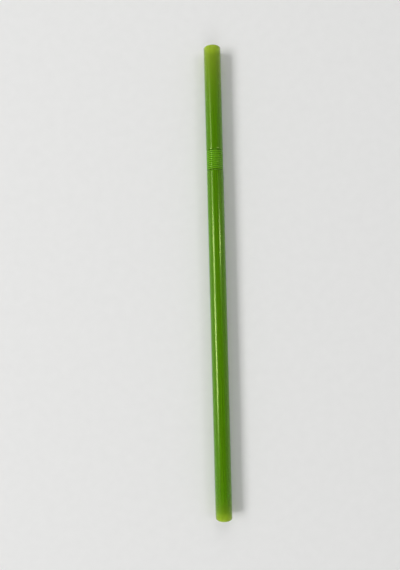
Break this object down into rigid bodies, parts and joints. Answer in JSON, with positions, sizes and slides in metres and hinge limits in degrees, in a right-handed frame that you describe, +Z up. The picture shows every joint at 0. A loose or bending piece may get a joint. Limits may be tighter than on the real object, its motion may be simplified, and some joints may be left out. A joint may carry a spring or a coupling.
{
  "type": "flexible drinking straw",
  "caption": "Lime green plastic drinking straw: a thin-walled round tube with a short folded bellows near the mouth end, so that the mouth end can be bent over.",
  "frame": {"origin": "middle of the straw's length, on the surface that it lies on, straight under its axis", "axes": "+Y along the straw's axis towards the mouth end, +Z up from the surface that it lies on, +X across it"},
  "size_m": [0.007, 0.197, 0.007],
  "materials": {
    "straw": "glossy, see-through lime green polypropylene with faint lines along the tube"
  },
  "bodies": {
    "root": {"straw": "straw"}
  },
  "joints": []
}
